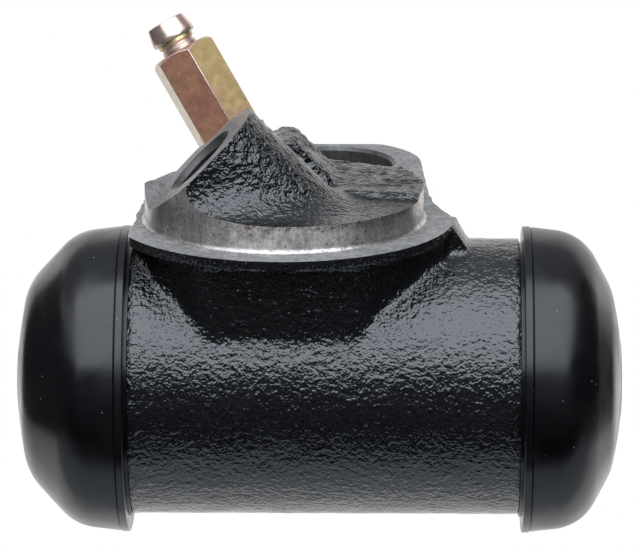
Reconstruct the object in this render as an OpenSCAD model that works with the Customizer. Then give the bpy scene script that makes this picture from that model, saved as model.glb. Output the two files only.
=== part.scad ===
// Drum brake wheel cylinder, in millimetres. The pieces are drawn from the mounting face, then lowered by the
// pilot's corner radius, so that the origin is on the pilot's axis where its straight wall starts.
// +Z leaves the mounting face, and +X runs along the bore.

/* [Cylinder] */
// Outer diameter of the cast cylinder
body_d = 40.2; // [39.4:0.1:41]
// Length of the cast cylinder between the boots
body_length = 55.8; // [54:0.2:57]
// Diameter of the bore
bore_d = 28.6; // [27.6:0.1:29.4]
// Distance from the mounting face down to the bore axis
axis_drop = 24.3; // [23.8:0.1:25]
// Height of the cast cylinder's own axis above the bore axis
cast_rise = 0.5; // [0:0.1:0.8]
// Distance from the pilot axis to the middle of the cylinder
mid_x = 6; // [5.2:0.1:6.8]
// Diameter of the turned ends under the boots
spigot_d = 37.4; // [36.6:0.1:38]
// Length of each turned end
spigot_length = 7.6; // [6.8:0.1:8]

/* [Flange and pilot] */
// Diameter of the turned pilot
pilot_d = 40.2; // [39.4:0.1:41]
// Height of the pilot's turned wall
pilot_height = 3.9; // [3.4:0.1:4.4]
// Radius in the corner under the pilot
pilot_fillet = 1.5; // [1:0.1:2]
// Diameter of the faced flange
flange_d = 49; // [47.6:0.2:50]
// Thickness of the flange's edge
flange_edge = 1.6; // [1.2:0.1:2.4]
// Diameter of the neck under the flange
neck_d = 38.6; // [37.6:0.2:39.4]
// Distance from the pilot axis to the flat beside the left boot
flat_x = 21.1; // [20.8:0.1:21.4]

/* [Ear] */
// Distance from the pilot axis back to the hole in the ear
ear_hole_y = 33; // [32:0.2:34]
// Diameter of the hole in the ear
ear_hole_d = 19.1; // [18:0.1:20]
// Radius of the ear around its hole
ear_r = 13.9; // [13:0.1:14.6]
// Distance from the hole to the flat end of the ear
ear_end = 11.6; // [11:0.1:12.4]
// Thickness of the ear
ear_thickness = 10; // [9:0.2:11]

/* [Inlet boss] */
// Tilt of the inlet port from the pilot axis
port_tilt = 45; // [42:1:47]
// Distance of the port's mouth to the left of the pilot axis
port_x = 11.8; // [11.4:0.1:12.4]
// Distance of the port's axis in front of the pilot axis
port_y = 6.1; // [5.9:0.1:6.6]
// Height of the port's mouth above the mounting face
port_z = 10; // [9.6:0.1:10.6]
// Radius of the inlet boss and of its spot face
port_boss_r = 10.3; // [9.8:0.1:10.6]
// Diameter of the port's thread at its crests
port_d = 10; // [9.4:0.1:10.4]
// Depth of the port's thread
port_depth = 12; // [11:0.5:13]
// Diameter of the drilled passages into the bore
passage_d = 2.8; // [2.4:0.1:3]

/* [Bleeder boss] */
// Y of the front face of the bleeder boss
rear_front_y = 0.2; // [0:0.1:0.8]
// Y of the rear face of the bleeder boss
rear_back_y = 9.8; // [9.4:0.1:10.6]
// X of the middle of the bleeder boss's ridge
ridge_x = 0.1; // [-0.4:0.1:0.6]
// Height of the ridge of the bleeder boss
ridge_z = 11.3; // [10.8:0.1:11.8]
// Width of the flat along the top of the ridge
ridge_flat = 1.9; // [1:0.1:2.6]
// Slope of the ridge's right side
ridge_slope = 46; // [44:1:48]
// Slope of the ridge's left side
ridge_left_slope = 24; // [22:1:25]

/* [Bleeder screw] */
// Tilt of the bleeder screw to the left
bleeder_tilt = 31; // [29:0.5:33]
// Lean of the bleeder screw to the rear
bleeder_lean = 12.5; // [11:0.5:14]
// X of the hexagon's foot
bleeder_x = -8.1; // [-8.4:0.1:-7.6]
// Y of the hexagon's foot
bleeder_y = 6.7; // [6.5:0.1:7]
// Height of the hexagon's foot above the mounting face
bleeder_z = 10.75; // [10.4:0.05:11.2]
// Width of the hexagon across its flats
hex_flats = 8.73; // [8.4:0.01:9]
// Length of the hexagon
hex_length = 14; // [13.4:0.1:14.6]
// Turn of the hexagon about its axis
hex_turn = 50; // [0:1:59]
// Diameter of the bleeder's shank
shank_d = 7.3; // [6.8:0.1:7.5]
// Length of the shank down to its cone
shank_length = 9.5; // [9:0.1:10]
// Diameter of the hose barb
barb_d = 6.6; // [6.2:0.1:6.8]
// Diameter of the neck under the barb
barb_neck_d = 5.3; // [5:0.1:5.6]

/* [Boots] */
// Diameter of each boot at its lip
boot_d = 44.6; // [44:0.1:45.2]
// Length of the left boot
left_boot_length = 16.3; // [15.9:0.1:16.9]
// Length of the right boot
right_boot_length = 14.3; // [13.9:0.1:14.9]
// Wall of each boot's dome
boot_wall = 2.2; // [2:0.1:2.4]
// Diameter of the push-rod hole in each boot
boot_hole_d = 10.4; // [9.6:0.1:11]

/* [Pistons and seals] */
// Length of each piston
piston_length = 16; // [15:0.2:17]
// Diameter of each push-rod socket
socket_d = 8.4; // [7.6:0.1:9]
// Depth of each push-rod socket
socket_depth = 9; // [8:0.2:10]
// Height of each cup seal
cup_height = 6; // [5.6:0.1:6.4]
// Thickness of each cup's floor
cup_floor = 2.4; // [2.2:0.1:2.6]
// Wire diameter of the spring
wire_d = 1.2; // [1:0.05:1.3]
// Mean diameter of the spring
spring_d = 12.8; // [12.6:0.1:13.4]
// Number of the spring's free turns
spring_turns = 8; // [6:1:9]

/* [Hidden] */
$fn = 96;

// Fits
running_gap = 0.05;
seat_gap = 0.02;
soft_gap = 0.3;
boot_gap = 0.55;

// Radii and lengths that follow from the sizes above
body_r = body_d / 2;
bore_r = bore_d / 2;
spigot_r = spigot_d / 2;
pilot_r = pilot_d / 2;
flange_r = flange_d / 2;
neck_r = neck_d / 2;
half_length = body_length / 2;
casting_end = half_length + spigot_length;
lip_at = half_length + boot_gap;
sheet = 0.8;
spring_facets = 24;
wire_facets = 8;

// Groove that holds each boot
groove_inset = 2.2;
groove_width = 2.4;
groove_depth = 1.2;
groove_at = lip_at + groove_inset;
groove_r = spigot_r - groove_depth;

// Low cast step on top of the pilot, to the right of the bosses
step_height = 0.7;
step_left_y = -0.8;
step_right_y = -5;
step_back_y = 12;

// Waist of the flange in front of the ear's right side, and where the ear's sides start
waist_x = 21.2;
waist_front_y = -1;
waist_turn_y = 10;
waist_end_y = 13.5;
waist_taper = 0.4;
flat_end_y = 8;
flat_inset = 0.5;

// Each boot's lip, the draft of its side, the slope of its cone, how far inside it clears the turned end,
// and the radii of its rounded corners and crown
lip_width = 1.2;
lip_step = 0.12;
side_draft = 6.4;
left_cone = 47;
right_cone = 62;
left_end_gap = 0.19;
right_end_gap = 0.3;
shoulder_r = 7;
dome_r = 7;
crown_r = 55;

// Web that fills the narrow gap between the flange's right end and the cast cylinder
web_drop = 0.4;
web_front_y = -6;
web_slope = 29;
web_sink = 0.5;

// Section of the cups and of the plates that spread them
cup_lip = 0.9;
cup_wall = 4.7;
cup_heel = 0.8;
cup_flare = 0.2;
expander_gap = 0.85;
expander_rim = 1.8;
expander_hat = 2.4;

// Rest places of the piston groups, from the middle of the cylinder, with each nose clear of its boot
piston_nose = 4;
piston_edge = 0.4;
nose_r = bore_r - running_gap - piston_nose + piston_edge;
crown_drop = crown_r - boot_wall - sqrt(pow(crown_r - boot_wall, 2) - pow(nose_r, 2));
nose_room = boot_wall + crown_drop + soft_gap;
left_piston_at = lip_at + left_boot_length - nose_room - piston_length;
right_piston_at = lip_at + right_boot_length - nose_room - piston_length;
left_spring_at = left_piston_at - seat_gap - cup_floor - seat_gap - sheet - seat_gap;
right_spring_at = right_piston_at - seat_gap - cup_floor - seat_gap - sheet - seat_gap;

// Places of the inclined features
port_mouth = [-port_x, -port_y, port_z];
bleeder_foot = [bleeder_x, bleeder_y, bleeder_z];
bleeder_turn = [-bleeder_lean, -bleeder_tilt, 0];
bleeder_gap = 0.6;
bleeder_face_r = hex_flats / sqrt(3) + soft_gap;
shank_r = shank_d / 2;
lead_taper = 2;
tip_r = 1.2;
shank_cone = shank_r - tip_r;

function arc(centre, r, from, to, steps = 8) =
    [for (i = [0 : steps]) let (a = from + (to - from) * i / steps) centre + r * [cos(a), sin(a)]];

// Points of a corner rounded to a radius, where the outline turns by an angle from the given heading
function rounded(corner, r, heading, turn, steps = 8) =
    let (reach = r * tan(abs(turn) / 2), side = sign(turn),
         start = corner - reach * [cos(heading), sin(heading)],
         centre = start + side * r * [-sin(heading), cos(heading)])
    arc(centre, r, heading - side * 90, heading - side * 90 + turn, steps);

// Where a line that runs inwards at the cone's slope meets the crown of a boot
function to_crown(from, cone, crown_z, r) =
    let (rise = from[1] - crown_z, b = from[0] * sin(cone) - rise * cos(cone),
         run = b + sqrt(b * b - from[0] * from[0] - rise * rise + r * r))
    from + run * [-sin(cone), cos(cone)];

// Lowers a piece that is drawn from the mounting face, so that the origin is where the pilot's wall starts
module in_frame() {
    translate([0, 0, -pilot_fillet]) children();
}

// Puts children on the bore axis, with +Z out of the right end (side 1) or the left end (side -1)
module on_bore(side) {
    translate([mid_x, 0, -axis_drop]) rotate([0, side * 90, 0]) children();
}

module on_port() {
    translate(port_mouth) rotate([0, -port_tilt, 0]) children();
}

module on_bleeder() {
    translate(bleeder_foot) rotate(bleeder_turn) children();
}

// Keeps only what lies inside the turned pilot, with a slight taper above it that leads a plate's hole on
module inside_pilot() {
    top = 2 * port_z;
    intersection() {
        children();
        rotate_extrude() polygon([[0, 0], [pilot_r - pilot_fillet, 0], [pilot_r, pilot_height],
                                  [pilot_r - (top - pilot_height) * tan(lead_taper), top], [0, top]]);
    }
}

// Outline followed by its mirror image, from the right end to the left end
function both_ends(half) = concat(half, [for (i = [len(half) - 1 : -1 : 0]) [half[i][0], -half[i][1]]]);

// Cast cylinder, which lies a little above the bore axis, and its two turned ends
module cylinder_blank() {
    end_chamfer = 1;
    cast_round = 1;
    ends = [[0, casting_end], [spigot_r - end_chamfer, casting_end], [spigot_r, casting_end - end_chamfer],
            [spigot_r, groove_at + groove_width], [groove_r, groove_at + groove_width],
            [groove_r, groove_at], [spigot_r, groove_at]];
    cast = concat([[0, half_length]], rounded([body_r, half_length], cast_round, 0, -90));
    on_bore(1) rotate_extrude() polygon(both_ends(ends));
    translate([0, 0, cast_rise]) on_bore(1) rotate_extrude() polygon(both_ends(cast));
}

// Web under the flange's right end, which leans out down to the cylinder
module web_blank() {
    foot_z = cast_rise - axis_drop + sqrt(pow(body_r, 2) - pow(web_front_y, 2)) - web_sink;
    foot_r = flange_r + (-web_drop - foot_z) * tan(web_slope);
    intersection() {
        rotate_extrude() polygon([[0, foot_z], [foot_r, foot_z], [flange_r, -web_drop], [0, -web_drop]]);
        translate([0, web_front_y, foot_z])
            cube([foot_r, waist_front_y - web_front_y, -foot_z]);
    }
}

// Neck, flange and pilot, turned about the pilot axis, with the flat on the left and the waist on the right
module flange_blank() {
    under_slope = 45;
    under_drop = (flange_r - neck_r) * tan(under_slope);
    neck_fillet = 3;
    clear = 1;
    outline = concat([[0, -axis_drop], [neck_r, -axis_drop]],
                     rounded([neck_r, -flange_edge - under_drop], neck_fillet, 90, -under_slope),
                     [[flange_r, -flange_edge], [flange_r, 0]],
                     arc([pilot_r + pilot_fillet, pilot_fillet], pilot_fillet, 270, 180),
                     [[pilot_r, pilot_height], [0, pilot_height]]);
    difference() {
        rotate_extrude() polygon(outline);
        translate([-flat_x - flange_r, -flange_r, -axis_drop])
            cube([flange_r, flange_d, axis_drop + pilot_height]);
        translate([0, 0, -axis_drop]) linear_extrude(axis_drop)
            polygon([[flange_r + clear, waist_front_y], [flange_r, waist_front_y], [waist_x, waist_turn_y],
                     [waist_x - waist_taper, waist_end_y], [flange_r + clear, waist_end_y]]);
    }
}

// Ear behind the flange, with straight sides that meet the round end
module ear_blank() {
    right_root = [waist_x, waist_turn_y];
    left_root = [-flat_x + flat_inset, flat_end_y];
    to_root = left_root - [mid_x, ear_hole_y];
    touch = atan2(to_root[1], to_root[0]) + 360 - acos(ear_r / norm(to_root));
    left_touch = [mid_x, ear_hole_y] + ear_r * [cos(touch), sin(touch)];
    translate([0, 0, -ear_thickness]) linear_extrude(ear_thickness) difference() {
        union() {
            translate([mid_x, ear_hole_y]) circle(r = ear_r);
            polygon([[mid_x + ear_r, ear_hole_y], [mid_x, ear_hole_y], left_touch, left_root,
                     [-pilot_r / 2, 0], [pilot_r / 2, 0], right_root]);
        }
        translate([mid_x - 2 * ear_r, ear_hole_y + ear_end]) square([4 * ear_r, ear_r]);
    }
}

// Round inlet boss, roof-shaped bleeder boss, round boss under the bleeder and the low step beside them
module boss_blanks() {
    left_top = [ridge_x - ridge_flat / 2, ridge_z];
    right_top = [ridge_x + ridge_flat / 2, ridge_z];
    left_end = [-pilot_r, ridge_z - (pilot_r + left_top[0]) * tan(ridge_left_slope)];
    right_end = [right_top[0] + ridge_z / tan(ridge_slope), 0];
    inside_pilot() on_port() translate([0, 0, -2 * port_boss_r])
        cylinder(r = port_boss_r, h = 2 * port_boss_r);
    inside_pilot() translate([0, rear_back_y, 0]) rotate([90, 0, 0])
        linear_extrude(rear_back_y - rear_front_y)
            polygon([left_top, right_top, right_end, [left_end[0], 0], left_end]);
    inside_pilot() on_bleeder() translate([0, 0, -shank_length - bleeder_gap])
        cylinder(r = bleeder_face_r, h = shank_length);
    inside_pilot() linear_extrude(pilot_height + step_height)
        polygon([[ridge_x, step_left_y], [pilot_r, step_right_y], [pilot_r, step_back_y],
                 [ridge_x, step_back_y]]);
}

// Spot face, thread bore and passage of the inlet port
module port_cuts() {
    mouth_chamfer = 0.6;
    on_port() {
        cylinder(r = port_boss_r, h = 3 * port_boss_r);
        translate([0, 0, -port_depth]) cylinder(d = port_d, h = port_depth + 1);
        translate([0, 0, -mouth_chamfer])
            cylinder(d1 = port_d, d2 = port_d + 2 * mouth_chamfer, h = mouth_chamfer);
        translate([0, 0, -axis_drop * sqrt(2)]) cylinder(d = passage_d, h = axis_drop * sqrt(2));
    }
}

// Seat face, bore, seat cone and passage of the bleeder
module bleeder_cuts() {
    hole_r = shank_r + running_gap;
    cone_top = -shank_length + running_gap - sqrt(2) * seat_gap;
    passage_r = passage_d / 2;
    on_bleeder() {
        translate([0, 0, -bleeder_gap]) cylinder(r = bleeder_face_r, h = 2 * hex_length);
        translate([0, 0, cone_top]) cylinder(r = hole_r, h = -cone_top);
        translate([0, 0, cone_top - hole_r + passage_r])
            cylinder(r1 = passage_r, r2 = hole_r, h = hole_r - passage_r);
        translate([0, 0, -axis_drop - bleeder_z / 2]) cylinder(r = passage_r, h = axis_drop);
    }
}

module body_casting() {
    hole_chamfer = 0.5;
    color("dimgray") difference() {
        union() {
            cylinder_blank();
            flange_blank();
            web_blank();
            ear_blank();
            boss_blanks();
        }
        on_bore(1) cylinder(r = bore_r, h = 3 * casting_end, center = true);
        translate([mid_x, ear_hole_y, -2 * ear_thickness]) cylinder(d = ear_hole_d, h = 3 * ear_thickness);
        translate([mid_x, ear_hole_y, -hole_chamfer])
            cylinder(d1 = ear_hole_d, d2 = ear_hole_d + 2 * hole_chamfer, h = hole_chamfer);
        port_cuts();
        bleeder_cuts();
    }
}

module bleeder_screw() {
    hex_r = hex_flats / sqrt(3);
    neck_length = 1.9;
    barb_length = 2.8;
    barb_rim = 0.4;
    barb_edge = 0.3;
    barb_taper = 0.5;
    hex_chamfer = 0.2;
    drill_r = 1;
    drill_end = 1;
    cross_r = 0.8;
    cross_at = 1.6;
    barb_r = barb_d / 2;
    chamfer_r = hex_flats / 2 - hex_chamfer;
    top = hex_length + neck_length + barb_length;
    color("goldenrod") on_bleeder() difference() {
        union() {
            translate([0, 0, -shank_length - shank_cone])
                cylinder(r1 = tip_r, r2 = shank_r, h = shank_cone);
            translate([0, 0, -shank_length]) cylinder(r = shank_r, h = shank_length);
            intersection() {
                rotate(hex_turn) cylinder(r = hex_r, h = hex_length, $fn = 6);
                cylinder(r1 = chamfer_r + 2 * hex_length, r2 = chamfer_r, h = hex_length);
            }
            cylinder(d = barb_neck_d, h = top - barb_rim);
            translate([0, 0, hex_length + neck_length])
                rotate_extrude() polygon([[0, 0], [barb_r - barb_edge, 0], [barb_r, barb_edge],
                                          [barb_r, barb_edge + barb_rim], [barb_r - barb_taper, barb_length],
                                          [0, barb_length]]);
        }
        translate([0, 0, drill_end - shank_length]) cylinder(r = drill_r, h = top + shank_length);
        translate([0, 0, cross_at - shank_length]) rotate([90, 0, 0])
            cylinder(r = cross_r, h = 2 * shank_d, center = true);
    }
}

// Half ring of wire from +X round to -X on the +Y side, tilted about Y
module half_ring(tilt) {
    rotate([0, tilt, 0]) rotate_extrude(angle = 180, $fn = spring_facets)
        translate([spring_d / 2 / cos(tilt), 0]) circle(d = wire_d, $fn = wire_facets);
}

// Coil of half rings, each tilted to climb half a turn, with a flat half ring at both ends
module piston_spring() {
    climb = (left_spring_at + right_spring_at - wire_d) / (2 * spring_turns);
    tilt = atan(climb / spring_d);
    start = wire_d / 2 - right_spring_at;
    color("silver") on_bore(-1) {
        translate([0, 0, start]) rotate(180) half_ring(0);
        for (i = [0 : 2 * spring_turns - 1])
            translate([0, 0, start + (i + 0.5) * climb]) rotate(180 * i) half_ring(tilt);
        translate([0, 0, start + 2 * spring_turns * climb]) half_ring(0);
    }
}

module piston(at) {
    piston_r = bore_r - running_gap;
    socket_r = socket_d / 2;
    socket_floor = piston_length - socket_depth;
    drill_point = 1.5;
    translate([0, 0, at]) rotate_extrude()
        polygon([[0, 0], [piston_r - piston_edge, 0], [piston_r, piston_edge],
                 [piston_r, piston_length - piston_nose], [nose_r, piston_length], [socket_r, piston_length],
                 [socket_r, socket_floor], [0, socket_floor - drill_point]]);
}

module cup(at) {
    cup_r = bore_r - running_gap;
    translate([0, 0, at - seat_gap]) rotate_extrude()
        polygon([[0, 0], [cup_r - cup_heel, 0], [cup_r - cup_flare, -cup_floor / 2], [cup_r, -cup_height],
                 [cup_r - cup_lip, -cup_height], [cup_r - cup_wall, -cup_floor], [0, -cup_floor]]);
}

module cup_expander(at) {
    hat_r = (spring_d - wire_d) / 2 - soft_gap;
    plate_r = bore_r - running_gap - cup_wall - expander_gap;
    rim_r = plate_r + expander_rim;
    hat_top = -expander_hat;
    bend = sheet * tan(45 / 2);
    edge = sheet * sin(45);
    translate([0, 0, at - cup_floor - 2 * seat_gap]) rotate_extrude()
        polygon([[hat_r - sheet, 0], [plate_r, 0], [rim_r, -expander_rim],
                 [rim_r - edge, -expander_rim - edge], [plate_r - bend, -sheet], [hat_r, -sheet],
                 [hat_r, hat_top - sheet], [0, hat_top - sheet], [0, hat_top], [hat_r - sheet, hat_top]]);
}

// Domed boot with a lip, a bead for the groove and a hole for the push rod. Its inside clears the turned end.
module boot(length, end_gap, cone) {
    lip_r = boot_d / 2;
    side_r = lip_r - lip_step;
    skin_r = spigot_r + running_gap;
    bead_r = groove_r + running_gap;
    hole_r = boot_hole_d / 2;
    wall_step = boot_wall / cos(cone);
    inner_turn = casting_end - lip_at + end_gap;
    side_foot = side_r + lip_width * tan(side_draft);
    cone_foot = skin_r + wall_step + inner_turn * tan(cone);
    shoulder_z = (cone_foot - side_foot) / (tan(cone) - tan(side_draft));
    shoulder = [cone_foot - shoulder_z * tan(cone), shoulder_z];
    crown_z = length - crown_r;
    inner_crown_r = crown_r - boot_wall;
    corner = to_crown(shoulder, cone, crown_z, crown_r);
    inner_corner = to_crown([skin_r, inner_turn], cone, crown_z, inner_crown_r);
    crown_slope = asin(corner[0] / crown_r);
    corner_turn = 90 - cone - crown_slope;
    crown_from = asin((corner[0] - dome_r * tan(corner_turn / 2)) / crown_r);
    bead_from = groove_at - lip_at + running_gap;
    bead_to = bead_from + groove_width - 2 * running_gap;
    outer = concat([[lip_r, 0], [lip_r, lip_width], [side_r, lip_width]],
                   rounded(shoulder, shoulder_r, 90 + side_draft, cone - side_draft),
                   rounded(corner, dome_r, 90 + cone, corner_turn),
                   arc([0, crown_z], crown_r, 90 - 0.9 * crown_from, 90 - asin(hole_r / crown_r), 4));
    inner = concat(arc([0, crown_z], inner_crown_r, 90 - asin(hole_r / inner_crown_r),
                       90 - asin(inner_corner[0] / inner_crown_r), 4),
                   [[skin_r, inner_turn], [skin_r, bead_to], [bead_r, bead_to], [bead_r, bead_from],
                    [skin_r, bead_from], [skin_r, 0]]);
    translate([0, 0, lip_at]) rotate_extrude() polygon(concat(outer, inner));
}

module left_cup_expander() {
    color("silver") on_bore(-1) cup_expander(left_piston_at);
}

module right_cup_expander() {
    color("silver") on_bore(1) cup_expander(right_piston_at);
}

module left_cup() {
    color("darkslategray") on_bore(-1) cup(left_piston_at);
}

module right_cup() {
    color("darkslategray") on_bore(1) cup(right_piston_at);
}

module left_piston() {
    color("gainsboro") on_bore(-1) piston(left_piston_at);
}

module right_piston() {
    color("gainsboro") on_bore(1) piston(right_piston_at);
}

module left_boot() {
    color("black") on_bore(-1) boot(left_boot_length, left_end_gap, left_cone);
}

module right_boot() {
    color("black") on_bore(1) boot(right_boot_length, right_end_gap, right_cone);
}

in_frame() body_casting();
in_frame() bleeder_screw();
in_frame() piston_spring();
in_frame() left_cup_expander();
in_frame() right_cup_expander();
in_frame() left_cup();
in_frame() right_cup();
in_frame() left_piston();
in_frame() right_piston();
in_frame() left_boot();
in_frame() right_boot();
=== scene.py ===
"""Wheel cylinder: cast skin, machined faces, boots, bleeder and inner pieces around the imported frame."""
import bmesh
import bpy
import math
from mathutils import Matrix, Vector, noise


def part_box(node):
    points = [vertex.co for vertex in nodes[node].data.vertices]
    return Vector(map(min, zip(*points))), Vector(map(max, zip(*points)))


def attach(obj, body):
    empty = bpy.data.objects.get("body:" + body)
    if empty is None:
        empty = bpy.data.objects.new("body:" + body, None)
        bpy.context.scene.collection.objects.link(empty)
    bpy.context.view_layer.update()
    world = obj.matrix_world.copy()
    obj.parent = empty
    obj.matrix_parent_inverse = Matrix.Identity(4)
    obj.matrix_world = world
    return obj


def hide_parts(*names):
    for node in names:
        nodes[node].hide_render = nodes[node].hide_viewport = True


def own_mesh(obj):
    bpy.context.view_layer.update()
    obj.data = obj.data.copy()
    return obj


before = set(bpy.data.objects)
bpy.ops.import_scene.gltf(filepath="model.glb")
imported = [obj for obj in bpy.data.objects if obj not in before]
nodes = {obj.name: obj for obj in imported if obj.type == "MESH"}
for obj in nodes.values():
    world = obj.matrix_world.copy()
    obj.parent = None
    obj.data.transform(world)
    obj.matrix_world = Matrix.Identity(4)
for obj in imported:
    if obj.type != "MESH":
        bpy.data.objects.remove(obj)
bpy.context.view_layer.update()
scene = bpy.context.scene
MM = 0.001

# Places read from the frame, in millimetres
left_low, left_high = [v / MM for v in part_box("left_boot")]
right_low, right_high = [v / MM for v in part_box("right_boot")]
axis_z = (left_low.z + left_high.z) / 2
boot_r = (left_high.z - left_low.z) / 2
mid_x = (left_high.x + right_low.x) / 2
lip_at = (right_low.x - left_high.x) / 2
casting_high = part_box("body_casting")[1] / MM
casting_end = casting_high.x - mid_x

# Cylinder and its turned ends, in millimetres like all sizes below
axis_drop = 24.3
cast_rise = 0.5
face_z = axis_z + axis_drop
body_r = 20.1
bore_r = 14.3
boot_gap = 0.55
half_length = lip_at - boot_gap
spigot_r = 18.7
groove_at = 2.2
groove_width = 2.4
groove_depth = 1.2

# Pilot, flange and neck. Places are from the pilot's axis and the mounting face.
allowance = 1.2
pilot_r = 20.1
pilot_height = 3.9
pilot_fillet = 0.7
flange_r = 24.5
flange_edge = 1.6
flange_under_slope = 12.0
flange_inside_z = -1.0
neck_r = 20.2
neck_front_y = -17.3
flat_x = 20.8
right_flare = [(8, -10), (11.5, -16.2), (17.5, -12.2), (23.0, -6.6), (24.2, -2), (24.2, -1), (8, -1)]
left_flare = [(-8, -1), (-21.3, -1), (-21.2, -5), (-17.4, -11.8), (-11.2, -16.3), (-8, -10)]
flare_low = -14.0
flare_high = -0.8
flange_left = Vector((-21.8, -6.0))
flange_right = Vector((flange_r, -1.0))

# Ear. The roots are where its straight sides leave the flange.
right_root = Vector((21.2, 10.0))
left_root = Vector((-20.2, 8.0))
ear_right = Vector((20.8, 13.5))
ear_left = Vector((-19.6, 14.0))
ear_hole = Vector((mid_x, 33.0))
ear_hole_r = 9.55
ear_r = 13.9
ear_end = casting_high.y - ear_hole.y
ear_thickness = 10.0
ear_chamfer = 1.5

# Inlet boss and port
port_mouth = Vector((-11.8, -6.1, 10.0))
port_tilt = 45.0
port_boss_r = 10.3
boss_front_r = 9.05
boss_fillet_r = 5.5
boss_depth = 18.0
port_r = 5.0
port_depth = 12.0
thread_pitch = 1.27
thread_depth = 0.55

# Low step, ridge of the bleeder boss, and web at the flange's right end
step_outline = [(0, -0.8), (21.5, -5.3), (21.5, 12), (0, 12)]
step_rise = 0.9
roof_left_x = -21.5
rear_front_y = 0.2
rear_back_y = 9.8
ridge = Vector((0.5, 11.3))
ridge_flat = 1.9
ridge_slope = 46.0
ridge_left_slope = 24.0
web_front_y = -6.0
web_slope = 29.0

# Bleeder screw
bleeder_foot = Vector((-8.1, 6.7, 10.75))
bleeder_tilt = 31.0
bleeder_lean = 12.5
hex_flats = 8.73
hex_corner = hex_flats / math.sqrt(3)
hex_length = 14.0
hex_turn = 50.0
barb_at = hex_length + 1.9
bleeder_face_r = hex_corner + 0.3
seat_r = 3.7
seat_foot = -9.5
seat_tip = -12.5
seat_sink = 0.6

# Reach of cutters past the casting
beyond = 40.0
far = 70.0

port_frame = Matrix.Translation(port_mouth) @ Matrix.Rotation(math.radians(-port_tilt), 4, "Y")
bleeder_frame = (Matrix.Translation(bleeder_foot) @ Matrix.Rotation(math.radians(-bleeder_tilt), 4, "Y")
                 @ Matrix.Rotation(math.radians(-bleeder_lean), 4, "X"))
bore_frame = Matrix.Translation((mid_x, 0, -axis_drop)) @ Matrix.Rotation(math.radians(90), 4, "Y")
cast_frame = Matrix.Translation((0, 0, cast_rise)) @ bore_frame
to_row = Matrix.Translation((0, 0, face_z * MM)) @ Matrix.Scale(MM, 4)


# Mesh helpers. Shapes are drawn in millimetres from the mounting face.

def arc(centre, r, start, end, steps=8):
    """Points of an arc, with its angles in degrees."""
    turns = [math.radians(start + (end - start) * i / steps) for i in range(steps + 1)]
    return [(centre[0] + r * math.cos(a), centre[1] + r * math.sin(a)) for a in turns]


def new_object(name, bm, place=Matrix.Identity(4), material=None):
    """Object made from a bmesh, moved into place in millimetres."""
    bmesh.ops.remove_doubles(bm, verts=bm.verts, dist=1e-5)
    bmesh.ops.recalc_face_normals(bm, faces=bm.faces)
    mesh = bpy.data.meshes.new(name)
    bm.to_mesh(mesh)
    bm.free()
    mesh.transform(place)
    if material:
        mesh.materials.append(material)
    obj = bpy.data.objects.new(name, mesh)
    scene.collection.objects.link(obj)
    return obj


def turned(name, outline, place=Matrix.Identity(4), material=None, segments=144):
    """Solid turned from a closed outline of (radius, height) points."""
    bm = bmesh.new()
    columns = []
    for i in range(segments):
        a = 2 * math.pi * i / segments
        columns.append([bm.verts.new((r * math.cos(a), r * math.sin(a), h)) for r, h in outline])
    for i, column in enumerate(columns):
        beside = columns[(i + 1) % segments]
        for j in range(len(outline)):
            k = (j + 1) % len(outline)
            bm.faces.new((column[j], beside[j], beside[k], column[k]))
    bmesh.ops.remove_doubles(bm, verts=bm.verts, dist=1e-5)
    return new_object(name, bm, place, material)


def prism(name, outline, low, high, place=Matrix.Identity(4), material=None):
    """Solid between two heights over an outline of (x, y) points."""
    bm = bmesh.new()
    foot = bm.faces.new([bm.verts.new((x, y, low)) for x, y in outline])
    top = bmesh.ops.extrude_face_region(bm, geom=[foot])
    verts = [v for v in top["geom"] if isinstance(v, bmesh.types.BMVert)]
    bmesh.ops.translate(bm, verts=verts, vec=(0, 0, high - low))
    return new_object(name, bm, place, material)


def drop(obj):
    mesh = obj.data
    bpy.data.objects.remove(obj)
    bpy.data.meshes.remove(mesh)


def baked(obj):
    """Puts the object's modifiers into its mesh."""
    graph = bpy.context.evaluated_depsgraph_get()
    mesh = bpy.data.meshes.new_from_object(obj.evaluated_get(graph))
    old = obj.data
    obj.modifiers.clear()
    obj.data = mesh
    bpy.data.meshes.remove(old)


def combine(obj, tool, operation):
    """Boolean of two closed solids. The tool's faces keep its material."""
    change = obj.modifiers.new("combine", "BOOLEAN")
    change.operation = operation
    change.object = tool
    change.solver = "MANIFOLD"
    change.material_mode = "TRANSFER"
    baked(obj)
    drop(tool)


def joined(name, parts):
    """One object that holds the meshes of several, which may overlap."""
    bm = bmesh.new()
    for part in parts:
        bm.from_mesh(part.data)
        drop(part)
    mesh = bpy.data.meshes.new(name)
    bm.to_mesh(mesh)
    bm.free()
    obj = bpy.data.objects.new(name, mesh)
    scene.collection.objects.link(obj)
    return obj


def shade(obj, angle):
    """Smooth shading, broken at sharp corners and where the material changes."""
    bm = bmesh.new()
    bm.from_mesh(obj.data)
    limit = math.radians(angle)
    for face in bm.faces:
        face.smooth = True
    for edge in bm.edges:
        faces = edge.link_faces
        if len(faces) == 2:
            same = faces[0].material_index == faces[1].material_index
            edge.smooth = same and edge.calc_face_angle(0) < limit
    bm.to_mesh(obj.data)
    bm.free()


def finish_piece(obj, body, slot, *replaced):
    """Moves a piece from millimetres into the row frame and ties it to its body."""
    obj.data.transform(to_row)
    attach(obj, body)
    if replaced:
        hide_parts(*replaced)


# Material helpers

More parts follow.
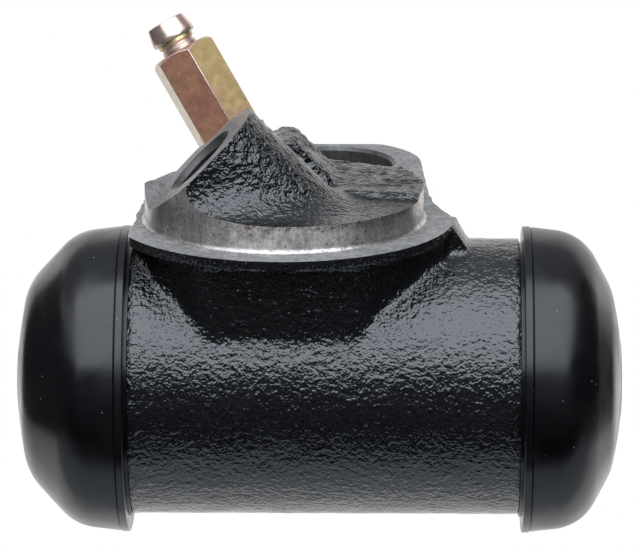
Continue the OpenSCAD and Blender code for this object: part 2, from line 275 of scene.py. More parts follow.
class Painter:
    """Builds one node material around a Principled shader."""

    def __init__(self, name, colour, metallic=0.0, roughness=0.5, ior=1.5):
        self.material = bpy.data.materials.new(name)
        self.material.use_nodes = True
        self.tree = self.material.node_tree
        self.shader = self.tree.nodes["Principled BSDF"]
        self.shader.inputs["Base Color"].default_value = (*colour, 1)
        self.shader.inputs["Metallic"].default_value = metallic
        self.shader.inputs["Roughness"].default_value = roughness
        self.shader.inputs["IOR"].default_value = ior
        self.place = self.node("ShaderNodeTexCoord").outputs["Object"]

    def node(self, kind, **settings):
        made = self.tree.nodes.new(kind)
        for key, value in settings.items():
            setattr(made, key, value)
        return made

    def join(self, source, target):
        self.tree.links.new(source, target)

    def noise(self, size, detail=2.0, roughness=0.5, place=None, stretch=None):
        """Noise with features of about the given size in millimetres."""
        source = place or self.place
        if stretch:
            mapping = self.node("ShaderNodeMapping")
            mapping.inputs["Scale"].default_value = stretch
            self.join(source, mapping.inputs["Vector"])
            source = mapping.outputs["Vector"]
        made = self.node("ShaderNodeTexNoise")
        made.inputs["Scale"].default_value = 1 / (size * MM)
        made.inputs["Detail"].default_value = detail
        made.inputs["Roughness"].default_value = roughness
        self.join(source, made.inputs["Vector"])
        return made.outputs["Fac"]

    def axis(self, name):
        """One coordinate of the point, in metres."""
        split = self.node("ShaderNodeSeparateXYZ")
        self.join(self.place, split.inputs[0])
        return split.outputs[name]

    def ramp(self, source, *stops):
        """Colour ramp over (position, colour) stops. A single number is a grey."""
        made = self.node("ShaderNodeValToRGB")
        elements = made.color_ramp.elements
        while len(elements) < len(stops):
            elements.new(0.5)
        for element, (position, colour) in zip(elements, stops):
            element.position = position
            element.color = (*colour, 1) if isinstance(colour, tuple) else (colour, colour, colour, 1)
        self.join(source, made.inputs["Fac"])
        return made.outputs["Color"]

    def mix(self, share, first, second, blend="MIX"):
        made = self.node("ShaderNodeMix", data_type="RGBA", blend_type=blend)
        for value, index in ((share, 0), (first, 6), (second, 7)):
            if isinstance(value, (int, float)):
                made.inputs[index].default_value = value
            elif isinstance(value, tuple):
                made.inputs[index].default_value = (*value, 1)
            else:
                self.join(value, made.inputs[index])
        return made.outputs[2]

    def math(self, operation, first, second=0.0):
        made = self.node("ShaderNodeMath", operation=operation)
        for value, index in ((first, 0), (second, 1)):
            if isinstance(value, (int, float)):
                made.inputs[index].default_value = value
            else:
                self.join(value, made.inputs[index])
        return made.outputs[0]

    def bump(self, height, depth, strength=1.0, before=None):
        """Bump whose height of 1 stands for the given depth in millimetres."""
        made = self.node("ShaderNodeBump")
        made.inputs["Strength"].default_value = strength
        made.inputs["Distance"].default_value = depth * MM
        self.join(height, made.inputs["Height"])
        if before:
            self.join(before, made.inputs["Normal"])
        return made.outputs["Normal"]

    def to_shader(self, **sources):
        for key, source in sources.items():
            self.join(source, self.shader.inputs[key.replace("_", " ")])


def cast_paint():
    """Gloss black paint over a pebbled and creased cast skin, rougher on the bosses."""
    p = Painter("gloss_black_paint", (0.007, 0.007, 0.0075), roughness=0.16, ior=1.7)
    height = p.axis("Z")
    on_boss = p.math("MAXIMUM", p.math("MINIMUM", p.math("DIVIDE", height, 5 * MM), 1.0), 0.0)
    crease = p.math("ABSOLUTE", p.math("SUBTRACT", p.noise(1.3, 2.0, 0.55), 0.5))
    rough = p.math("ADD", p.noise(0.75, 2.0, 0.55), p.math("MULTIPLY", crease, 1.2))
    pebble = p.math("MULTIPLY", rough, p.math("ADD", p.math("MULTIPLY", on_boss, 0.5), 1.0))
    grain = p.noise(0.32, 1.0)
    first = p.bump(pebble, 0.24)
    second = p.bump(grain, 0.03, before=first)
    patches = p.noise(6.0, 2.0)
    p.to_shader(Normal=second, Roughness=p.ramp(patches, (0.35, 0.1), (0.65, 0.18)))
    return p.material


def bare_iron(name, dark, light, metallic=0.4, specular=0.5, stretch=0.0):
    """Machined iron with turning marks about the pilot, a mottled grain and rust at the pilot's edge."""
    p = Painter(name, light, metallic=metallic, roughness=0.42)
    p.shader.inputs["Specular IOR Level"].default_value = specular
    p.shader.inputs["Anisotropic"].default_value = stretch
    across = p.axis("X")
    height = p.axis("Z")
    flat = p.node("ShaderNodeCombineXYZ")
    p.join(across, flat.inputs["X"])
    p.join(p.axis("Y"), flat.inputs["Y"])
    around = p.node("ShaderNodeVectorMath", operation="CROSS_PRODUCT")
    around.inputs[0].default_value = (0, 0, 1)
    p.join(flat.outputs[0], around.inputs[1])
    across_marks = p.node("ShaderNodeVectorMath", operation="CROSS_PRODUCT")
    p.join(p.node("ShaderNodeNewGeometry").outputs["Normal"], across_marks.inputs[0])
    p.join(around.outputs[0], across_marks.inputs[1])
    p.join(across_marks.outputs[0], p.shader.inputs["Tangent"])
    radius = p.node("ShaderNodeVectorMath", operation="LENGTH")
    p.join(flat.outputs[0], radius.inputs[0])
    rings = p.node("ShaderNodeTexNoise", noise_dimensions="1D")
    rings.inputs["Scale"].default_value = 1 / (0.25 * MM)
    p.join(radius.outputs["Value"], rings.inputs["W"])
    tone = p.ramp(p.noise(3.0, 4.0, 0.6), (0.3, dark), (0.7, light))
    grain = p.ramp(p.noise(0.42, 3.0, 0.75), (0.34, 0.58), (0.6, 1.0))
    streaks = p.ramp(p.noise(0.9, 3.0, 0.6, stretch=(1, 1, 0.15)), (0.3, 0.72), (0.62, 1.0))
    pits = p.ramp(p.noise(0.42, 2.0, 0.6), (0.28, 0.12), (0.33, 1.0))
    worn = p.mix(1.0, streaks, pits, "MULTIPLY")
    colour = p.mix(1.0, p.mix(1.0, tone, grain, "MULTIPLY"), worn, "MULTIPLY")
    near_edge = p.math("LESS_THAN", p.math("ABSOLUTE", p.math("SUBTRACT", height, 2.15 * MM)), 0.4 * MM)
    in_front = p.math("GREATER_THAN", across, -8 * MM)
    specks = p.ramp(p.noise(0.5, 3.0, 0.65), (0.52, 0.0), (0.58, 0.8))
    rust = p.math("MULTIPLY", p.math("MULTIPLY", near_edge, in_front), specks)
    colour = p.mix(rust, colour, (0.2, 0.075, 0.05))
    p.to_shader(Base_Color=colour, Normal=p.bump(rings.outputs["Fac"], 0.01, before=p.bump(pits, 0.02)),
                Roughness=p.ramp(p.noise(1.4), (0.3, 0.32), (0.7, 0.46)))
    return p.material


def rubber(name, colour, roughness):
    """Moulded black rubber with a few pale dust specks."""
    p = Painter(name, colour, roughness=roughness)
    fine = p.noise(0.25, 2.0)
    broad = p.noise(7.0, 2.0)
    dust = p.node("ShaderNodeTexVoronoi")
    dust.inputs["Scale"].default_value = 1 / (2.2 * MM)
    p.join(p.place, dust.inputs["Vector"])
    speck = p.ramp(dust.outputs["Distance"], (0.025, 0.8), (0.045, 0.0))
    p.to_shader(Base_Color=p.mix(speck, colour, (0.45, 0.45, 0.47)), Normal=p.bump(fine, 0.012),
                Roughness=p.ramp(broad, (0.35, roughness - 0.06), (0.65, roughness + 0.08)))
    return p.material


def yellow_plating(name, low, middle, high, roughness=0.35):
    """Yellow zinc plating that drifts between three tints, with a fine grain."""
    p = Painter(name, middle, metallic=0.75, roughness=roughness)
    tint = p.ramp(p.noise(5.0, 3.0, 0.55), (0.32, low), (0.5, middle), (0.68, high))
    wear = p.ramp(p.noise(0.5, 3.0, 0.6), (0.3, 0.82), (0.6, 1.0))
    p.to_shader(Base_Color=p.mix(1.0, tint, wear, "MULTIPLY"), Normal=p.bump(p.noise(0.4, 2.0), 0.004),
                Roughness=p.ramp(p.noise(1.2), (0.3, roughness - 0.06), (0.7, roughness + 0.06)))
    return p.material


def bands():
    """Plating whose tint changes in rings along the neck of the bleeder, with a dark green ring just under
    the barb that is painted shadow of the barb's rim.
    """
    p = Painter("plating_bands_and_shadow", (0.62, 0.4, 0.25), metallic=0.75, roughness=0.28)
    along = p.node("ShaderNodeVectorMath", operation="DOT_PRODUCT")
    axis = bleeder_frame.to_3x3() @ Vector((0, 0, 1))
    p.join(p.place, along.inputs[0])
    along.inputs[1].default_value = axis
    start = axis.dot(to_row @ bleeder_frame @ Vector((0, 0, hex_length - 0.7)))
    run = (barb_at - hex_length + 0.9) * MM
    share = p.math("DIVIDE", p.math("SUBTRACT", along.outputs["Value"], start), run)
    # The last, dark green stop is painted shadow under the barb's rim; the stops before it are the plating's
    # own tints.
    tint = p.ramp(share, (0.1, (0.6, 0.38, 0.28)), (0.35, (0.68, 0.4, 0.36)), (0.5, (0.7, 0.55, 0.3)),
                  (0.62, (0.62, 0.36, 0.38)), (0.78, (0.66, 0.56, 0.26)), (0.9, (0.36, 0.42, 0.16)))
    p.to_shader(Base_Color=tint)
    return p.material


def bright_metal(name, dark, light, stretch):
    """Plain metal with fine lines, drawn out as far as the stretch says."""
    p = Painter(name, light, metallic=1.0, roughness=0.3)
    lines = p.noise(0.3, 2.0, stretch=stretch)
    tone = p.ramp(p.noise(2.5, 3.0), (0.3, dark), (0.7, light))
    gloss = p.ramp(lines, (0.3, 0.24), (0.7, 0.4))
    p.to_shader(Base_Color=tone, Normal=p.bump(lines, 0.008), Roughness=gloss)
    return p.material


paint = cast_paint()
# The flat faces get a darker, matt copy of the turned iron: painted shade, so that they look dimmer under the
# softbox above.
iron = bare_iron("turned_iron", (0.56, 0.52, 0.49), (0.88, 0.82, 0.77), metallic=0.92, stretch=0.8)
shaded_faced_iron = bare_iron("shaded_faced_iron", (0.28, 0.262, 0.246), (0.44, 0.414, 0.389),
                       metallic=0.1, specular=0.02)
# Near-black iron for the port thread, the ear hole and the turned ends behind the boots: painted shade in
# these recesses.
recess_shade_iron = bare_iron("hole_painted_shade", (0.08, 0.076, 0.072), (0.16, 0.152, 0.144))
boot_rubber = rubber("boot_rubber", (0.003, 0.003, 0.0035), 0.24)
seal_rubber = rubber("seal_rubber", (0.008, 0.008, 0.008), 0.3)
# The gold, pink and pale copies of the plating go on the hexagon's flats by the way each faces: partly the
# plating's own drift of colour, partly painted reflection.
gold_plating = yellow_plating("plating_gold", (0.9, 0.54, 0.31), (0.94, 0.65, 0.31), (0.88, 0.64, 0.28))
pink_plating = yellow_plating("plating_pink", (0.72, 0.33, 0.22), (0.8, 0.38, 0.24), (0.74, 0.4, 0.22))
pale_plating = yellow_plating("plating_pale", (0.7, 0.6, 0.46), (0.76, 0.68, 0.54), (0.72, 0.6, 0.48))
barb_plating = yellow_plating("plating_barb", (0.72, 0.5, 0.42), (0.8, 0.58, 0.5), (0.84, 0.66, 0.56), 0.2)
worn_plating = yellow_plating("plating_worn", (0.62, 0.56, 0.5), (0.78, 0.72, 0.66), (0.85, 0.8, 0.74), 0.3)
bands_and_shadow_plating = bands()
alloy = bright_metal("piston_alloy", (0.55, 0.55, 0.57), (0.75, 0.75, 0.77), (8, 1, 1))
spring_steel = bright_metal("spring_steel", (0.38, 0.38, 0.39), (0.6, 0.6, 0.61), (1, 1, 1))


# Raw casting, drawn with metal left on for machining

def cylinder(name, r, low, high, place=Matrix.Identity(4)):
    """Plain round solid between two heights."""
    return turned(name, [(0, low), (r, low), (r, high), (0, high)], place)


def flange_solid():
    """Round flange with a sloped underside, cut to an outline that tapers towards the ear."""
    under_z = -flange_edge - (flange_r - neck_r) * math.tan(math.radians(flange_under_slope))
    outline = [(0, under_z), (neck_r, under_z), (flange_r, -flange_edge)]
    outline += [(flange_r, allowance), (0, allowance)]
    flange = turned("flange", outline)
    waist = [(flange_left.x, -beyond), (beyond, -beyond), (beyond, flange_right.y), tuple(flange_right)]
    waist += [tuple(right_root), tuple(ear_right), (ear_right.x, beyond), (ear_left.x, beyond)]
    waist += [tuple(ear_left), tuple(flange_left)]
    combine(flange, prism("keep", waist, -beyond, beyond), "INTERSECT")
    return flange


def neck_solid():
    """Neck between the flange and the cylinder, round with a flat front and flat sides."""
    neck = cylinder("neck", neck_r, -axis_drop, flange_inside_z)
    sides = [(-flat_x, neck_front_y), (flat_x, neck_front_y), (flat_x, beyond), (-flat_x, beyond)]
    combine(neck, prism("keep", sides, -beyond, beyond), "INTERSECT")
    return neck


def web():
    """Metal that fills the narrow gap between the flange's right end and the cylinder."""
    head_z = -0.4
    foot_z = -7.0
    head_r = flange_r + 0.4
    foot_r = head_r + (head_z - foot_z) * math.tan(math.radians(web_slope))
    solid = turned("web", [(0, foot_z), (foot_r, foot_z), (head_r, head_z), (0, head_z)])
    keep = [(14, web_front_y), (30, web_front_y + 2), (30, 2), (14, 4)]
    combine(solid, prism("keep", keep, -beyond, beyond), "INTERSECT")
    return solid


def ear_solid():
    """Ear around its hole, with straight sides that run to the flange and a flat end."""
    away = left_root - ear_hole
    touch = math.degrees(math.atan2(away.y, away.x)) + 360 - math.degrees(math.acos(ear_r / away.length))
    flat_turn = math.degrees(math.asin(ear_end / ear_r))
    outline = [(-pilot_r / 2, 0), (pilot_r / 2, 0), tuple(right_root)]
    outline += arc(ear_hole, ear_r, 0, flat_turn)
    outline += arc(ear_hole, ear_r, 180 - flat_turn, touch)
    outline += [tuple(left_root)]
    return prism("ear", outline, -ear_thickness, allowance)


def roof_solid():
    """Roof-shaped boss behind the inlet, which carries the bleeder."""
    left_top = ridge.x - ridge_flat / 2
    right_top = ridge.x + ridge_flat / 2
    left_z = ridge.y - (left_top - roof_left_x) * math.tan(math.radians(ridge_left_slope))
    right_end = right_top + ridge.y / math.tan(math.radians(ridge_slope))
    outline = [(right_top, ridge.y), (left_top, ridge.y), (roof_left_x, left_z)]
    outline += [(roof_left_x, 0), (right_end, 0)]
    upright = Matrix.Translation((0, rear_back_y, 0)) @ Matrix.Rotation(math.radians(90), 4, "X")
    return prism("roof", outline, 0, rear_back_y - rear_front_y, upright)


def raw_casting():
    """All solids of the casting under one rough painted skin."""
    barrel_end = half_length + 0.5
    raw_end = casting_end + 1
    parts = [
        flange_solid(),
        neck_solid(),
        prism("right_flare", right_flare, flare_low, flare_high),
        prism("left_flare", left_flare, flare_low, flare_high),
        web(),
        ear_solid(),
        cylinder("barrel", body_r, -barrel_end, barrel_end, cast_frame),
        cylinder("ends", spigot_r + 0.8, -raw_end, raw_end, bore_frame),
        cylinder("platform", pilot_r + 1.8, 0.6, pilot_height),
        prism("step", step_outline, 0, pilot_height + step_rise),
        inlet_boss(),
        boss_fillet(),
        roof_solid(),
        cylinder("boss", bleeder_face_r, -10, 0, bleeder_frame),
    ]
    raw = joined("body_casting_skin", parts)
    soften(raw)
    roughen(raw)
    raw.data.materials.clear()
    raw.data.materials.append(paint)
    return raw


def soften(raw):
    """One skin over the joined solids, with rounded corners, most where the neck meets the cylinder."""
    remesh = raw.modifiers.new("skin", "REMESH")
    remesh.mode = "VOXEL"
    remesh.voxel_size = 0.46
    baked(raw)
    corners = raw.vertex_groups.new(name="corners")
    junction = raw.vertex_groups.new(name="junction")
    crisp = 0.3
    ridge_from = Vector((-1.5, 3.5))
    rim_low = -5.0
    rim_inner_r = 16.5
    junction_low = -16.0
    junction_high = -4.5
    junction_back_y = 12.0
    for v in raw.data.vertices:
        on_ridge = v.co.y > ridge_from.x and v.co.z > ridge_from.y
        on_rim = rim_low < v.co.z < 0 and v.co.to_2d().length > rim_inner_r
        corners.add([v.index], crisp if on_ridge or on_rim else 1.0, "REPLACE")
        if junction_low < v.co.z < junction_high and v.co.y < junction_back_y:
            junction.add([v.index], 1.0, "REPLACE")
    for group, quick_steps, full_steps in ((corners, 3, 5), (junction, 8, 24)):
        smooth = raw.modifiers.new("round_" + group.name, "SMOOTH")
        smooth.vertex_group = group.name
        smooth.factor = 0.5
        smooth.iterations = full_steps
    baked(raw)


def stacked(name, rings, place=Matrix.Identity(4)):
    """Solid through closed rings of (x, y, z) points that all have the same count."""
    bm = bmesh.new()
    grid = [[bm.verts.new(point) for point in ring] for ring in rings]
    count = len(rings[0])
    for low, high in zip(grid, grid[1:]):
        for i in range(count):
            k = (i + 1) % count
            bm.faces.new((low[i], low[k], high[k], high[i]))
    bm.faces.new(grid[0])
    bm.faces.new(grid[-1])
    return new_object(name, bm, place)


def inlet_boss():
    """Inlet boss along the port, a little narrower in front than at its crest."""
    crest_r = port_boss_r - 0.1
    front_from = -25
    front_run = 55
    around = 96
    rings = []
    for depth in (-allowance, boss_depth):
        ring = []
        for i in range(around):
            turn = 360 * i / around - 180
            r = crest_r + (boss_front_r - crest_r) * smooth_step((front_from - turn) / front_run)
            a = math.radians(turn)
            ring.append((r * math.cos(a), r * math.sin(a), -depth))
        rings.append(ring)
    return stacked("inlet", rings, port_frame)


def boss_fillet():
    """Hollow fillet around the foot of the inlet boss, which stands on the pilot as a slanted round."""
    r = boss_fillet_r
    stretch = 1 / math.cos(math.radians(port_tilt))
    foot_x = port_mouth.x + port_mouth.z - pilot_height
    around = 96
    turns = [2 * math.pi * i / around for i in range(around)]
    rings = []
    for share in (-0.2, 0, 0.03, 0.08, 0.14, 0.22, 0.32, 0.44, 0.6, 0.8):
        height = r * share
        spread = r - math.sqrt(r * r - (r - max(height, 0)) ** 2)
        half_x = boss_front_r * stretch + spread
        half_y = boss_front_r + spread
        rings.append([(foot_x - height + half_x * math.cos(a), port_mouth.y + half_y * math.sin(a),
                       pilot_height + height) for a in turns])
    return stacked("fillet", rings)


def smooth_step(share):
    share = min(1.0, max(0.0, share))
    return share * share * (3 - 2 * share)


def roughen(obj):
    """Sand-cast skin: dents all over, pebbles on the bosses, flakes on the ridge and the low step."""
    broad_depth = 0.07
    fine_depth = 0.05
    pebble_depth = 0.14
    flake_depth = 0.32
    sink = 0.03
    mesh = obj.data
    places = []
    for v in mesh.vertices:
        x, y, z = v.co
        broad = noise.noise(v.co / 3.4) * broad_depth
        fine = noise.noise(v.co / 1.3 + Vector((7, 3, 1))) * fine_depth
        pebble = noise.noise(v.co + Vector((2, 9, 5))) * pebble_depth * smooth_step((z - 3.0) / 4.0)
        on_step = smooth_step((x + 1) / 4) * smooth_step((y + 1.5) / 1.5) * smooth_step((z - 2) / 1.5)
        flake = noise.noise(Vector((x / 2.2, y / 0.8, z / 0.8))) * flake_depth * on_step
        places.extend(v.co + v.normal * (broad + fine + pebble + flake - sink))
    mesh.vertices.foreach_set("co", places)
    mesh.update()


def threaded_hole(name, depth, place, material):
    """Closed core of a helical V thread, with a chamfer at its mouth."""
    steps_per_turn = 8
    columns = 72
    mouth_extra = 0.35
    above_mouth = 3.0
    tip_share = 0.6
    step = thread_pitch / steps_per_turn
    rows = int(depth / step)
    bm = bmesh.new()
    grid = []
    for row in range(rows + 1):
        height = -depth + row * step
        ring = []
        for column in range(columns):
            phase = (height / thread_pitch - column / columns) % 1.0
            groove = 1 - abs(2 * phase - 1)
            mouth = max(0.0, thread_depth + mouth_extra + height)
            r = max(port_r + thread_depth * groove, port_r + mouth)
            a = 2 * math.pi * column / columns
            ring.append(bm.verts.new((r * math.cos(a), r * math.sin(a), height)))
        grid.append(ring)
    top = [bm.verts.new((v.co.x, v.co.y, above_mouth)) for v in grid[-1]]
    grid.append(top)
    for low, high in zip(grid, grid[1:]):
        for i in range(columns):
            k = (i + 1) % columns
            bm.faces.new((low[i], low[k], high[k], high[i]))
    bm.faces.new(top)
    tip = bm.verts.new((0, 0, -depth - port_r * tip_share))
    for i in range(columns):
        bm.faces.new((grid[0][(i + 1) % columns], grid[0][i], tip))
    return new_object(name, bm, place, material)


def machine(raw):
    """Faces, turns and drills the raw casting. The cut faces are bare iron, darkened on the flat faces and in
    the holes as painted shade.
    """
    facing = [(pilot_r, beyond), (pilot_r, pilot_fillet)]
    facing += arc((pilot_r + pilot_fillet, pilot_fillet), pilot_fillet, 180, 270)
    facing += [(far, 0), (far, beyond)]
    cutter = turned("facing", facing, material=iron)
    # Faces that look up take the darker copy of the iron, which is painted shade.
    cutter.data.materials.append(shaded_faced_iron)
    for face in cutter.data.polygons:
        if abs(face.normal.z) > 0.9:
            face.material_index = 1
    combine(raw, cutter, "DIFFERENCE")
    spot_r = port_boss_r + 0.1
    spot = [(0, 0), (spot_r, 0), (spot_r, beyond), (0, beyond)]
    combine(raw, turned("spot_face", spot, port_frame, shaded_faced_iron), "DIFFERENCE")
    # The port, the ear hole and the turned ends are cut with the near-black iron: painted shade in these
    # recesses.
    combine(raw, threaded_hole("port", port_depth, port_frame, recess_shade_iron), "DIFFERENCE")
    hole = [(0, -beyond), (ear_hole_r, -beyond), (ear_hole_r, 1 - ear_chamfer), (ear_hole_r + ear_chamfer, 1),
            (0, 1)]
    combine(raw, turned("ear_hole", hole, Matrix.Translation((*ear_hole, 0)), recess_shade_iron), "DIFFERENCE")
    for side in (1, -1):
        groove_low = lip_at + groove_at
        groove_high = groove_low + groove_width
        groove_r = spigot_r - groove_depth
        end = [(spigot_r, half_length), (far, half_length), (far, far), (0, far), (0, casting_end),
               (spigot_r - 1, casting_end), (spigot_r, casting_end - 1), (spigot_r, groove_high),
               (groove_r, groove_high), (groove_r, groove_low), (spigot_r, groove_low)]
        turn = bore_frame @ Matrix.Rotation(math.radians(90 - 90 * side), 4, "X")
        combine(raw, turned("turned_end", end, turn, recess_shade_iron), "DIFFERENCE")
    bore = [(0, -far), (bore_r, -far), (bore_r, far), (0, far)]
    combine(raw, turned("bore", bore, bore_frame, iron), "DIFFERENCE")
    seat = [(0, seat_tip), (seat_r, seat_foot), (seat_r, -seat_sink), (bleeder_face_r, -seat_sink),
            (bleeder_face_r, beyond), (0, beyond)]
    combine(raw, turned("bleeder_seat", seat, bleeder_frame, iron), "DIFFERENCE")


casting = raw_casting()
machine(casting)
shade(casting, 40)
finish_piece(casting, "housing", "painted_casting", "body_casting")


# Rubber boots

def to_crown(r, z, cone, crown_z, crown_r):
    """Where a line that runs inwards at the cone's slope meets the crown."""
    a = math.radians(cone)
    rise = z - crown_z
    b = r * math.sin(a) - rise * math.cos(a)
    run = b + math.sqrt(b * b - r * r - rise * rise + crown_r * crown_r)
    return r - run * math.sin(a), z + run * math.cos(a)


def rounded(corner, r, heading, turn, steps=10):
    """Points of a corner rounded to a radius, where the outline turns left by an angle from its heading."""
    a = math.radians(heading)
    reach = r * math.tan(math.radians(turn / 2))
    start = (corner[0] - reach * math.cos(a), corner[1] - reach * math.sin(a))
    centre = (start[0] - r * math.sin(a), start[1] + r * math.cos(a))
    return arc(centre, r, heading - 90, heading - 90 + turn, steps)


def boot(name, low_x, high_x, side, cone, end_gap, end_growth):
    """Domed boot turned from its lip to its end, with a fine step behind the lip."""
    hole_end = high_x - low_x + end_growth
    wall = 2.2
    lip_width = 1.2
    side_r = boot_r - 0.12
    side_draft = 6.4
    shoulder_r = 7.5
    dome_r = 9.0
    crown_r = 55.0
    hole_r = 5.2
    draft = math.tan(math.radians(side_draft))
    slope = math.tan(math.radians(cone))
    skin_gap = 0.05
    skin_r = spigot_r + skin_gap
    turn_in = casting_end - lip_at + end_gap
    cone_foot = skin_r + wall / math.cos(math.radians(cone)) + turn_in * slope
    shoulder_z = (cone_foot - side_r - lip_width * draft) / (slope - draft)
    shoulder = (cone_foot - shoulder_z * slope, shoulder_z)
    crown_z = hole_end - math.sqrt(crown_r ** 2 - hole_r ** 2)
    corner = to_crown(*shoulder, cone, crown_z, crown_r)
    inner_corner = to_crown(skin_r, turn_in, cone, crown_z, crown_r - wall)
    turn = 90 - cone - math.degrees(math.asin(corner[0] / crown_r))
    crown_from = math.degrees(math.asin((corner[0] - dome_r * math.tan(math.radians(turn / 2))) / crown_r))
    crown_to = math.degrees(math.asin((hole_r + 0.6) / crown_r))
    outer = arc((boot_r - 0.2, 0.2), 0.2, -90, 0, 4)
    outer += [(boot_r, lip_width - 0.15), (side_r - 0.1, lip_width), (side_r, lip_width + 0.15)]
    outer += rounded(shoulder, shoulder_r, 90 + side_draft, cone - side_draft, 16)
    outer += rounded(corner, dome_r, 90 + cone, turn, 12)
    outer += arc((0, crown_z), crown_r, 90 - 0.9 * crown_from, 90 - crown_to, 10)
    outer += arc((hole_r + 0.5, hole_end - 0.5), 0.5, 90, 180, 5)
    inner_low = math.degrees(math.asin(hole_r / (crown_r - wall)))
    inner_high = math.degrees(math.asin(inner_corner[0] / (crown_r - wall)))
    inner = arc((0, crown_z), crown_r - wall, 90 - inner_low, 90 - inner_high, 5) + [(skin_r, turn_in)]
    rib_low = groove_at + skin_gap
    rib_high = groove_at + groove_width - skin_gap
    rib_r = skin_r - groove_depth
    bead_r = 20.0
    bead = boot_gap - 0.1
    inner += [(skin_r, rib_high), (rib_r, rib_high), (rib_r, rib_low), (skin_r, rib_low), (skin_r, -bead),
              (bead_r, -bead), (bead_r, 0)]
    facing = Matrix.Rotation(math.radians(90 - 90 * side), 4, "X")
    place = bore_frame @ facing @ Matrix.Translation((0, 0, lip_at))
    obj = turned(name, outer + inner, place, boot_rubber, 192)
    shade(obj, 40)
    return obj


left_boot = boot("left_boot_skin", left_low.x, left_high.x, -1, cone=47.0, end_gap=0.32, end_growth=0.1)
finish_piece(left_boot, "housing", "boot_rubber", "left_boot")
right_boot = boot("right_boot_skin", right_low.x, right_high.x, 1, cone=62.0, end_gap=0.58, end_growth=0.3)
finish_piece(right_boot, "housing", "boot_rubber", "right_boot")


# Bleeder screw

def bleeder():
    """Hexagon with a turned chamfer, shank, neck and hose barb, with worn edges. Each flat is tinted by the
    way it faces, partly the plating's own colour and partly painted reflection.
    """
    corners = [math.radians(hex_turn + 60 * i) for i in range(6)]
    outline = [(hex_corner * math.cos(a), hex_corner * math.sin(a)) for a in corners]
    hexagon = prism("bleeder_screw_skin", outline, 0, hex_length, material=gold_plating)
    chamfer_r = hex_flats / 2 - 0.2
    rim = hex_corner + 0.4
    chamfer_slope = 0.75
    chamfer_low = hex_length - (rim - chamfer_r) * chamfer_slope
    keep = [(0, -1), (hex_corner - 0.55, -1), (rim, 0.5), (rim, chamfer_low), (chamfer_r, hex_length),
            (0, hex_length)]
    combine(hexagon, turned("chamfer", keep, material=gold_plating), "INTERSECT")
    shank_r = seat_r - 0.1
    core_r = 3.0
    stem_r = 2.65
    barb_r = 3.3
    barb_top_r = 2.85
    edge_r = 0.15
    drill_r = 1.0
    drill_foot = -8.5
    tip_z = -11.9
    top = barb_at + 2.8
    stem = [(0, tip_z), (1.2, tip_z), (shank_r, seat_foot), (shank_r, -0.4), (core_r, 0.3),
            (core_r, hex_length - 1), (stem_r, hex_length - 0.6), (stem_r, hex_length + 0.6),
            (stem_r - 0.2, hex_length + 0.8),
            (stem_r - 0.2, hex_length + 1.1), (stem_r + 0.1, hex_length + 1.35),
            (stem_r + 0.1, barb_at - 0.05)]
    stem += arc((barb_r - edge_r, barb_at + edge_r), edge_r, 270, 360, 3)
    stem += [(barb_r, barb_at + 0.6), (barb_top_r, top - edge_r)]
    stem += arc((barb_top_r - edge_r, top - edge_r), edge_r, 20, 90, 3)
    stem += [(drill_r + 0.35, top), (drill_r, top - 0.3), (drill_r, drill_foot), (0, drill_foot)]
    combine(hexagon, turned("stem", stem, material=gold_plating), "UNION")
    tints = (gold_plating, pink_plating, pale_plating, bands_and_shadow_plating, barb_plating, worn_plating)
    hexagon.data.materials.clear()
    for tint in tints:
        hexagon.data.materials.append(tint)
    bevel = hexagon.modifiers.new("edges", "BEVEL")
    bevel.width = 0.1
    bevel.segments = 2
    bevel.limit_method = "ANGLE"
    bevel.angle_limit = math.radians(28)
    bevel.material = tints.index(worn_plating)
    baked(hexagon)
    for face in hexagon.data.polygons:
        if face.material_index:
            continue
        out = face.normal
        on_flat = abs(out.z) < 0.1 and abs(face.center.to_2d().dot(out.to_2d()) - hex_flats / 2) < 0.05
        if on_flat:
            # The flat's tint follows its direction: partly the plating's own colour, partly painted
            # reflection.
            flat = round((math.degrees(math.atan2(out.y, out.x)) - hex_turn - 30) / 60)
            face.material_index = (4 - flat) % 3
        elif face.center.z > barb_at:
            face.material_index = tints.index(barb_plating)
        elif face.center.z > hex_length - 0.7:
            face.material_index = tints.index(bands_and_shadow_plating)
    hexagon.data.transform(bleeder_frame)
    shade(hexagon, 30)
    return hexagon


bleeder_screw = bleeder()
finish_piece(bleeder_screw, "bleeder", "yellow_plating", "bleeder_screw")


# Inner pieces

wire_r = 0.6
coil_r = 6.4
half_turns = 4.5


def spring_half(name, start, end, turns, phase):
    """Half of the coil, from the middle of the bore to one end plate."""
    around = 12
    steps = int(turns * 40)
    bm = bmesh.new()
    rings = []
    for i in range(steps + 1):
        share = i / steps
        a = phase + 2 * math.pi * turns * share
        centre = Vector((start + (end - start) * share, coil_r * math.cos(a), coil_r * math.sin(a)))
        out = Vector((0, math.cos(a), math.sin(a)))
        along = Vector((1, 0, 0))
        rings.append([bm.verts.new(centre + wire_r * (math.cos(t) * out + math.sin(t) * along))
                      for t in (2 * math.pi * k / around for k in range(around))])
    for near, further in zip(rings, rings[1:]):
        for k in range(around):
            bm.faces.new((near[k], near[(k + 1) % around], further[(k + 1) % around], further[k]))
    bm.faces.new(rings[0])
    bm.faces.new(reversed(rings[-1]))
    obj = new_object(name, bm, Matrix.Translation((0, 0, -axis_drop)), spring_steel)
    shade(obj, 50)
    return obj


spring_low, spring_high = [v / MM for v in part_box("piston_spring")]
spring_mid = (spring_low.x + spring_high.x) / 2
for joint, end in (("left_piston_slide", spring_low.x), ("right_piston_slide", spring_high.x)):
    tip = end - math.copysign(wire_r, end - spring_mid)
    half = spring_half(joint.split("_")[0] + "_spring_half", spring_mid, tip, half_turns, math.pi / 2)
    finish_piece(half, "housing", "spring_steel", "piston_spring")
    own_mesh(half)

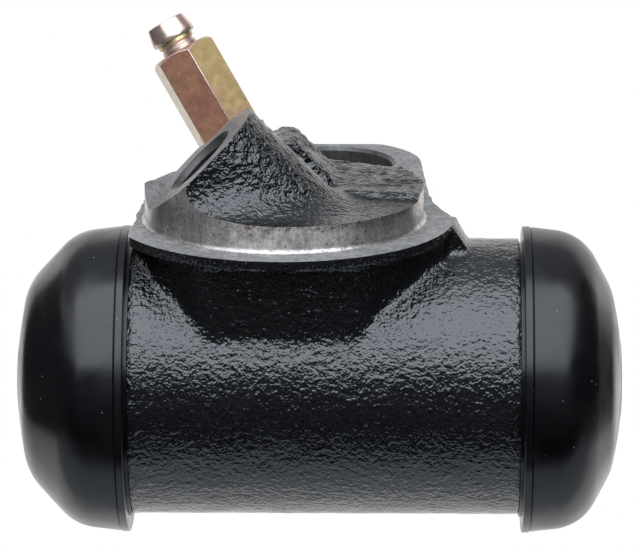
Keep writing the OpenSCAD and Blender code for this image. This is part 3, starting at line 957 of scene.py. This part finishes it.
for name, material in (("left_piston", alloy), ("right_piston", alloy), ("left_cup", seal_rubber),
                       ("right_cup", seal_rubber), ("left_cup_expander", spring_steel),
                       ("right_cup_expander", spring_steel)):
    nodes[name].data.materials.clear()
    nodes[name].data.materials.append(material)


# Camera

def place_camera():
    """Camera fitted to the pilot, flange and boot edges of the photograph."""
    place = Vector((16.607, -613.772, 161.198 + face_z)) * MM
    data = bpy.data.cameras.new("camera")
    data.sensor_width = 36.0
    data.lens = 247.303
    data.clip_start = 0.05
    data.clip_end = 20
    camera = bpy.data.objects.new("camera", data)
    scene.collection.objects.link(camera)
    back = Vector((0.018, -0.9637, 0.2664)).normalized()
    up = Vector((-0.0027, 0.2664, 0.9638))
    right = up.cross(back).normalized()
    up = back.cross(right)
    turn = Matrix((right, up, back)).transposed().to_4x4()
    camera.matrix_world = Matrix.Translation(place) @ turn
    scene.camera = camera


# Light: a white surround, one wide softbox in front above, and cards where the object mirrors a dark room

def softbox(name, place, aim, width, height, radiance):
    """Wide lamp of a cool white, with its power worked out from its radiance."""
    data = bpy.data.lights.new(name, "AREA")
    data.shape = "RECTANGLE"
    data.size = width
    data.size_y = height
    data.color = (0.76, 0.865, 1.0)
    data.energy = radiance * math.pi * width * height
    lamp = bpy.data.objects.new(name, data)
    scene.collection.objects.link(lamp)
    lamp.location = place
    lamp.rotation_euler = (Vector(aim) - Vector(place)).to_track_quat("-Z", "Y").to_euler()


def card(name, place, aim, width, height, grey):
    """Flat card that only mirrors and light rays meet."""
    bm = bmesh.new()
    corners = ((-1, -1), (1, -1), (1, 1), (-1, 1))
    bm.faces.new([bm.verts.new((x * width / 2, y * height / 2, 0)) for x, y in corners])
    p = Painter(name + "_cloth", (grey, grey, grey), roughness=1.0)
    p.shader.inputs["Specular IOR Level"].default_value = 0.0
    obj = new_object(name, bm, material=p.material)
    obj.location = place
    obj.rotation_euler = (Vector(aim) - Vector(place)).to_track_quat("-Z", "Y").to_euler()
    obj.visible_camera = False


def surround(level):
    """World that is white to the camera and in mirrors, and a level light for matt surfaces."""
    world = bpy.data.worlds.new("surround")
    scene.world = world
    world.use_nodes = True
    tree = world.node_tree
    background = tree.nodes["Background"]
    background.inputs["Color"].default_value = (1, 1, 1, 1)
    path = tree.nodes.new("ShaderNodeLightPath")
    either = tree.nodes.new("ShaderNodeMath")
    either.operation = "MAXIMUM"
    seen = tree.nodes.new("ShaderNodeMath")
    seen.operation = "MAXIMUM"
    strength = tree.nodes.new("ShaderNodeMix")
    strength.inputs[2].default_value = level
    strength.inputs[3].default_value = 1.0
    tree.links.new(path.outputs["Is Camera Ray"], either.inputs[0])
    tree.links.new(path.outputs["Is Glossy Ray"], either.inputs[1])
    tree.links.new(either.outputs[0], seen.inputs[0])
    tree.links.new(path.outputs["Is Transmission Ray"], seen.inputs[1])
    tree.links.new(seen.outputs[0], strength.inputs[0])
    tree.links.new(strength.outputs[0], background.inputs["Strength"])


place_camera()
surround(0.3)

# Each lamp and card has its place, the point that it faces, its width and height in metres, and its level
softbox("key", (0, -0.2585, 0.412), (0, 0, -0.01), 0.9, 0.68, 2.5)
card("front_dark", (0, -0.5, -0.11), (0, 0, -0.11), 1.6, 0.62, 0.2)
card("floor_dark", (0, -0.4, -0.3), (0, -0.4, 0), 1.6, 0.38, 0.008)
card("floor_grey", (0, -0.08, -0.3), (0, -0.08, 0), 1.6, 0.26, 0.9)
card("overhead_grey", (0, 0.32, 0.5), (0, 0, 0), 1.6, 0.6, 0.9)
card("left_grey", (-0.6, 0.05, 0), (0, 0.05, 0), 1.3, 0.6, 0.14)
card("right_grey", (0.6, -0.5, 0.1), (0, -0.5, 0.1), 2.1, 0.8, 0.08)
scene.view_settings.view_transform = "Standard"
